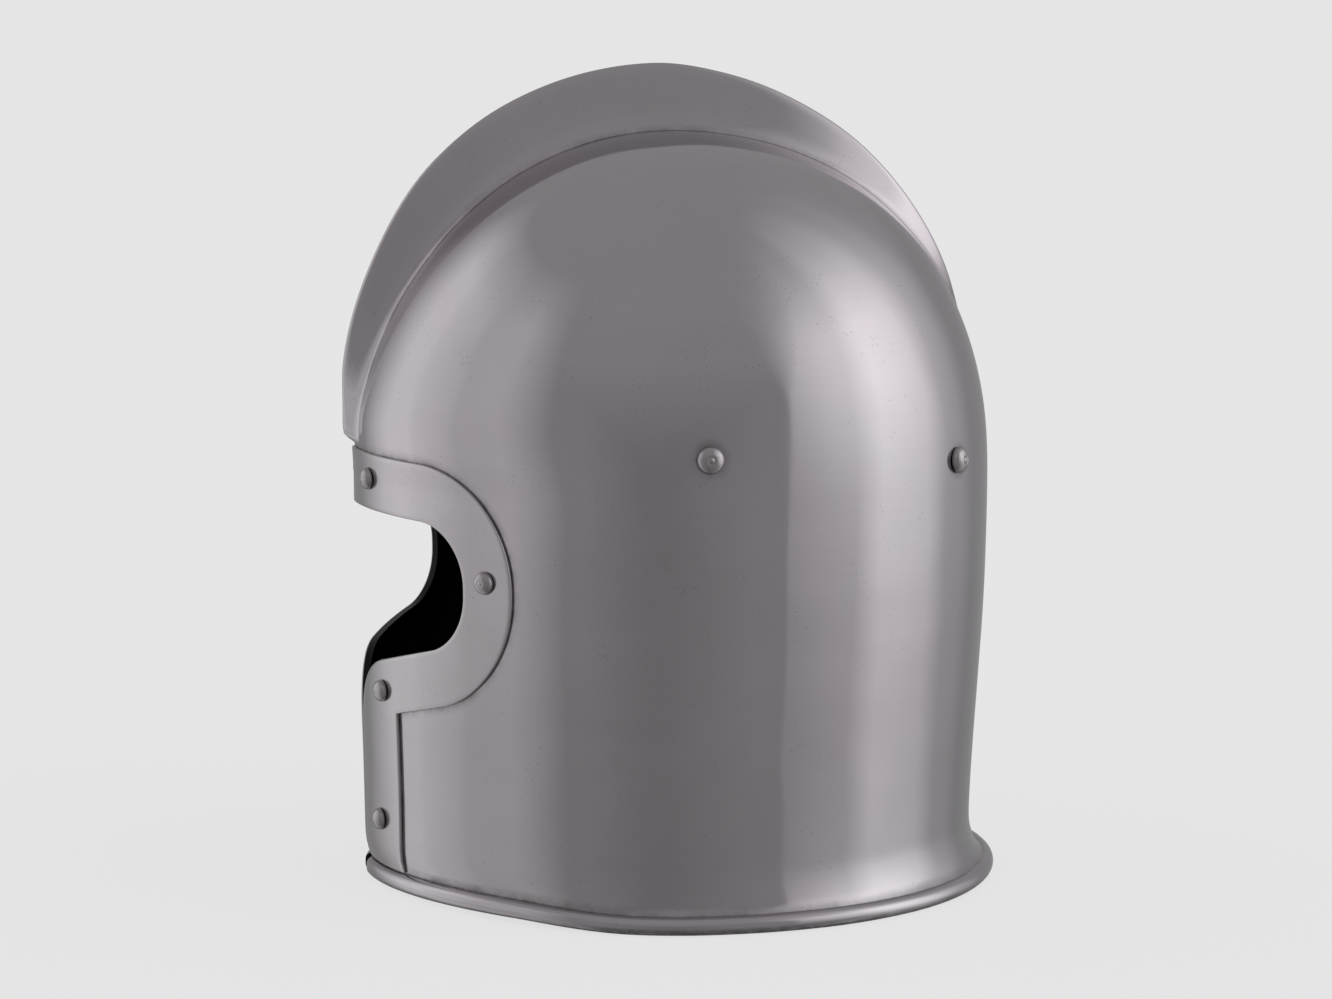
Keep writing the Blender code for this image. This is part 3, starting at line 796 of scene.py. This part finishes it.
def make_brush_group():
    """Fine polishing lines that run level round the helmet."""
    inputs = (("Along", 30.0), ("Across", 1500.0))
    sheet, given, wanted = new_group("polishing_lines", inputs, ("Height", "Tone"))
    place = sheet.add("ShaderNodeTexCoord").outputs["Object"]
    x, y, z = sheet.add("ShaderNodeSeparateXYZ", Vector=place).outputs
    reach = sheet.math("SQRT", sheet.math("ADD", sheet.math("MULTIPLY", x, x), sheet.math("MULTIPLY", y, y)))
    above = sheet.math("MAXIMUM", sheet.math("SUBTRACT", z, EQUATOR), 0.0)
    climb = sheet.math("MULTIPLY", sheet.math("ARCTAN2", above, reach), 0.12)
    line = sheet.math("ADD", sheet.math("MINIMUM", z, EQUATOR), climb)
    spot = sheet.add("ShaderNodeCombineXYZ").outputs[0]
    for index, value in enumerate((x, y)):
        sheet.put(sheet.math("MULTIPLY", value, given["Along"]), spot.node.inputs[index])
    sheet.put(sheet.math("MULTIPLY", line, given["Across"]), spot.node.inputs[2])
    fine = sheet.noise(spot, 1.0, 3.0, 0.62)
    sheet.put(fine, wanted["Height"])
    sheet.put(sheet.span(fine, 0.3, 0.7, -1.0, 1.0), wanted["Tone"])
    return sheet.tree


def make_cloud_group():
    """Soft patches where the steel is a little duller or darker."""
    inputs = (("Scale", 16.0), ("Low", 0.42), ("High", 0.68))
    sheet, given, wanted = new_group("dull_patches", inputs, ("Mask",))
    place = sheet.add("ShaderNodeTexCoord").outputs["Object"]
    broad = sheet.noise(place, given["Scale"], 4.0, 0.6)
    sheet.put(sheet.span(broad, given["Low"], given["High"]), wanted["Mask"])
    return sheet.tree


def make_speck_group():
    """Tiny sparse pits."""
    sheet, given, wanted = new_group("small_pits", (("Scale", 620.0), ("Share", 0.10)), ("Mask",))
    place = sheet.add("ShaderNodeTexCoord").outputs["Object"]
    cells = sheet.add("ShaderNodeTexVoronoi", Vector=place, Scale=given["Scale"])
    pick = sheet.noise(place, 90.0, 2.0, 0.6)
    chosen = sheet.math("GREATER_THAN", pick, sheet.math("SUBTRACT", 0.72, given["Share"]))
    dot = sheet.span(cells.outputs["Distance"], 0.10, 0.24, 1.0, 0.0)
    sheet.put(sheet.math("MULTIPLY", dot, chosen), wanted["Mask"])
    return sheet.tree


def make_residue_and_shade_group():
    """Dark residue and painted shade in seams and corners, and a lighter smear of residue and painted shade
    beside them, both broken up.
    """
    inputs = (("Openness", 1.0), ("Line", 0.72), ("Smear_and_shade", 0.55))
    sheet, given, wanted = new_group("seam_residue_and_shade", inputs, ("Mask",))
    place = sheet.add("ShaderNodeTexCoord").outputs["Object"]
    closed = sheet.math("SUBTRACT", 1.0, given["Openness"])
    broken = sheet.span(sheet.noise(place, 260.0, 3.0, 0.65), 0.36, 0.60, 0.55, 1.0)
    # Residue with painted shade in the closest corners, then a lighter painted shade with residue beside them
    contact = sheet.span(closed, 0.30, 0.48)
    line = sheet.math("MULTIPLY", sheet.math("MULTIPLY", contact, broken), given["Line"])
    patchy = sheet.span(sheet.noise(place, 75.0, 4.0, 0.7), 0.38, 0.62, 0.25, 1.0)
    beside = sheet.span(closed, 0.025, 0.20)
    smear_and_shade = sheet.math("MULTIPLY", sheet.math("MULTIPLY", beside, patchy), given["Smear_and_shade"])
    sheet.put(sheet.math("MAXIMUM", line, smear_and_shade), wanted["Mask"])
    return sheet.tree


def grouped(sheet, tree, **inputs):
    node = sheet.nodes.new("ShaderNodeGroup")
    node.node_tree = tree
    for name, value in inputs.items():
        sheet.put(value, node.inputs[name])
    return node.outputs


def make_steel(groups, name, colour, roughness, along, across, brush, patches, corner_reach):
    """Satin steel with polishing lines, dull patches, small pits, and residue with painted shade in its seams
    and corners.
    """
    material = bpy.data.materials.new(name)
    material.use_nodes = True
    sheet = NodeSheet(material.node_tree)
    shader = sheet.nodes["Principled BSDF"]
    shader.inputs["Metallic"].default_value = 1.0
    shader.inputs["Anisotropic"].default_value = 0.55
    shader.inputs["Anisotropic Rotation"].default_value = 0.25
    lines = grouped(sheet, groups["brush"], Along=along, Across=across)
    dull = grouped(sheet, groups["cloud"], Scale=patches)["Mask"]
    pits = grouped(sheet, groups["speck"])["Mask"]
    # Ambient occlusion finds seams and corners, which the steel darkens with residue and painted shade
    corner = sheet.add("ShaderNodeAmbientOcclusion", Distance=corner_reach)
    corner.samples = 8
    seam = sheet.nodes.new("ShaderNodeAttribute")
    seam.attribute_name = "seam"
    # Painted shade along the comb's root crease, from the seam weight
    painted_crease = sheet.math("MULTIPLY", seam.outputs["Fac"], 0.22)
    open_share = sheet.math("SUBTRACT", corner.outputs["AO"], painted_crease)
    residue_and_shade = grouped(sheet, groups["residue_shade"], Openness=open_share)["Mask"]
    tinted = grouped(sheet, groups["cloud"], Scale=11.0, Low=0.40, High=0.62)["Mask"]
    cool = (0.96 * colour[0], 1.0 * colour[1], 0.975 * colour[2], 1.0)
    dark = tuple(0.60 * value for value in colour[:3]) + (1.0,)
    worn = sheet.blend(sheet.math("MULTIPLY", dull, 0.10), sheet.blend(tinted, colour, cool), dark)
    lined = sheet.blend(sheet.math("MULTIPLY_ADD", lines["Tone"], brush * 0.05, brush * 0.05), worn, dark)
    pitted = sheet.blend(sheet.math("MULTIPLY", pits, 0.28), lined, PIT_COLOUR)
    # Residue and painted shade darken the colour in seams and corners
    sheet.put(sheet.blend(residue_and_shade, pitted, RESIDUE_AND_SHADE_COLOUR), shader.inputs["Base Color"])
    rough = sheet.math("MULTIPLY_ADD", dull, 0.07, roughness)
    rough = sheet.math("MULTIPLY_ADD", lines["Tone"], 0.018, rough)
    rough = sheet.math("MULTIPLY_ADD", residue_and_shade, 0.35, rough)
    sheet.put(rough, shader.inputs["Roughness"])
    height = sheet.math("MULTIPLY", lines["Height"], brush)
    height = sheet.math("SUBTRACT", height, sheet.math("MULTIPLY", pits, 0.6))
    bump = sheet.add("ShaderNodeBump", Height=height, Distance=0.00001, Strength=0.5)
    sheet.put(bump.outputs[0], shader.inputs["Normal"])
    return material


def make_paint(name, groups):
    """Gloss black paint inside the skull, with a little dust and unevenness."""
    material = bpy.data.materials.new(name)
    material.use_nodes = True
    sheet = NodeSheet(material.node_tree)
    shader = sheet.nodes["Principled BSDF"]
    shader.inputs["Specular IOR Level"].default_value = 0.22
    dust = grouped(sheet, groups["cloud"], Scale=38.0)["Mask"]
    sheet.put(sheet.blend(dust, PAINT_COLOUR, PAINT_DUST_COLOUR), shader.inputs["Base Color"])
    sheet.put(sheet.math("MULTIPLY_ADD", dust, 0.10, 0.20), shader.inputs["Roughness"])
    place = sheet.add("ShaderNodeTexCoord").outputs["Object"]
    bump = sheet.add("ShaderNodeBump", Height=sheet.noise(place, 240.0, 2.0), Distance=0.0001, Strength=0.35)
    sheet.put(bump.outputs[0], shader.inputs["Normal"])
    return material


def make_studio():
    """Soft boxes at the helmet's front and back, a dark room behind the camera, a pale backdrop."""
    world = bpy.data.worlds.new("studio")
    bpy.context.scene.world = world
    world.use_nodes = True
    sheet = NodeSheet(world.node_tree)
    output = sheet.nodes["World Output"]
    light = sheet.nodes["Background"]
    place = sheet.add("ShaderNodeTexCoord").outputs["Generated"]
    x, y, z = sheet.add("ShaderNodeSeparateXYZ", Vector=place).outputs
    turn = sheet.math("MULTIPLY", sheet.math("ARCTAN2", y, x), 180.0 / math.pi)
    level_round = ROOM
    for start, end, soft, bright in PANELS.values():
        opened = sheet.span(turn, start - soft, start + soft)
        closed = sheet.span(turn, end - soft, end + soft, 1.0, 0.0)
        window = sheet.math("MULTIPLY", opened, closed)
        level_round = sheet.math("MULTIPLY_ADD", window, bright - ROOM, level_round)
    elevation = sheet.math("ARCSINE", z)
    upper = sheet.span(elevation, 0.0, math.radians(30.0), WALL_BASE, WALL_HIGH)
    wall = sheet.math("MAXIMUM", level_round, upper)
    lamp = sheet.nodes.new("ShaderNodeVectorMath")
    lamp.operation = "DOT_PRODUCT"
    sheet.put(place, lamp.inputs[0])
    sheet.put(LAMP_DIRECTION, lamp.inputs[1])
    glow = sheet.math("POWER", sheet.math("MAXIMUM", lamp.outputs["Value"], 0.0), LAMP_TIGHTNESS)
    softening = sheet.span(elevation, math.radians(15.0), math.radians(45.0), 0.0, BOX_EDGE_SOFTENING)
    edge_from = sheet.math("SUBTRACT", BOX_EDGE_START, softening)
    edge_to = sheet.math("ADD", BOX_EDGE_END, softening)
    box_edge = sheet.span(turn, edge_from, edge_to)
    wall = sheet.math("MULTIPLY_ADD", sheet.math("MULTIPLY", glow, box_edge), LAMP_STRENGTH, wall)
    foot = sheet.span(elevation, math.radians(-14.5), math.radians(-8.0), FOOT_SHARE, 1.0)
    wall = sheet.math("MULTIPLY_ADD", sheet.math("SUBTRACT", wall, WALL_BASE), foot, WALL_BASE)
    edge_low = sheet.span(box_edge, 0.0, 1.0, math.radians(36.0), math.radians(32.0))
    edge_high = sheet.span(box_edge, 0.0, 1.0, math.radians(52.0), math.radians(74.0))
    high = sheet.span(elevation, edge_low, edge_high)
    room = sheet.blend(high, wall, CEILING)
    low = sheet.span(elevation, math.radians(-60.0), math.radians(-20.0), 0.75, 1.0)
    sheet.put(room, light.inputs["Color"])
    sheet.put(low, light.inputs["Strength"])
    seen = sheet.add("ShaderNodeBackground", Color=BACKDROP, Strength=1.0)
    choose = sheet.add("ShaderNodeMixShader")
    sheet.put(sheet.add("ShaderNodeLightPath").outputs["Is Camera Ray"], choose.inputs[0])
    sheet.put(light.outputs[0], choose.inputs[1])
    sheet.put(seen.outputs[0], choose.inputs[2])
    sheet.put(choose.outputs[0], output.inputs["Surface"])


def make_floor():
    """A plain pale floor with a faint shadow under the helmet."""
    data = bpy.data.meshes.new("floor")
    corners = [(x * FLOOR_REACH, y * FLOOR_REACH, 0.0) for x, y in ((-1, -1), (1, -1), (1, 1), (-1, 1))]
    data.from_pydata(corners, [], [(0, 1, 2, 3)])
    floor = bpy.data.objects.new("floor", data)
    bpy.context.scene.collection.objects.link(floor)
    material = bpy.data.materials.new("pale_floor")
    material.use_nodes = True
    shader = material.node_tree.nodes["Principled BSDF"]
    shader.inputs["Base Color"].default_value = FLOOR_COLOUR
    shader.inputs["Roughness"].default_value = 1.0
    shader.inputs["Specular IOR Level"].default_value = 0.0
    shader.inputs["Emission Color"].default_value = (1.0, 1.0, 1.0, 1.0)
    shader.inputs["Emission Strength"].default_value = FLOOR_GLOW
    data.materials.append(material)
    floor.visible_glossy = False
    floor.visible_diffuse = False


def make_camera():
    """The photograph's view: from the helmet's left, a little forward and a little above."""
    turn, tilt = math.radians(CAMERA_TURN), math.radians(CAMERA_TILT)
    back = Vector((math.sin(turn) * math.cos(tilt), -math.cos(turn) * math.cos(tilt), math.sin(tilt)))
    data = bpy.data.cameras.new("camera")
    data.lens = CAMERA_LENS
    data.sensor_width = CAMERA_SENSOR
    camera = bpy.data.objects.new("camera", data)
    facing = back.to_track_quat("Z", "Y").to_matrix() @ Matrix.Rotation(math.radians(CAMERA_ROLL), 3, "Z")
    place = Vector(CAMERA_TARGET) + back * CAMERA_DISTANCE
    camera.matrix_world = Matrix.Translation(place) @ facing.to_4x4()
    bpy.context.scene.collection.objects.link(camera)
    bpy.context.scene.camera = camera


def main():
    make_camera()
    make_studio()
    make_floor()
    bpy.context.scene.view_settings.view_transform = "Standard"
    groups = {
        "brush": make_brush_group(), "cloud": make_cloud_group(),
        "speck": make_speck_group(), "residue_shade": make_residue_and_shade_group()}
    steels = [make_steel(groups, name, **finish) for name, finish in STEELS.items()]
    skull_steel, band_steel, rivet_steel = steels
    paint = make_paint("gloss_black_paint", groups)
    skull = make_skull(skull_steel, paint)
    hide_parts("skull")
    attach(skull, "root")
    band = make_face_band(band_steel, paint)
    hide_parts("face_band")
    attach(band, "root")
    for name, kind, distance, height in RIVETS:
        for side, sign in (("left", 1.0), ("right", -1.0)):
            node = f"rivet_{name}_{side}"
            rivet = make_rivet(node, kind, distance, height, sign, rivet_steel)
            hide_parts(node)
            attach(rivet, "root")


main()
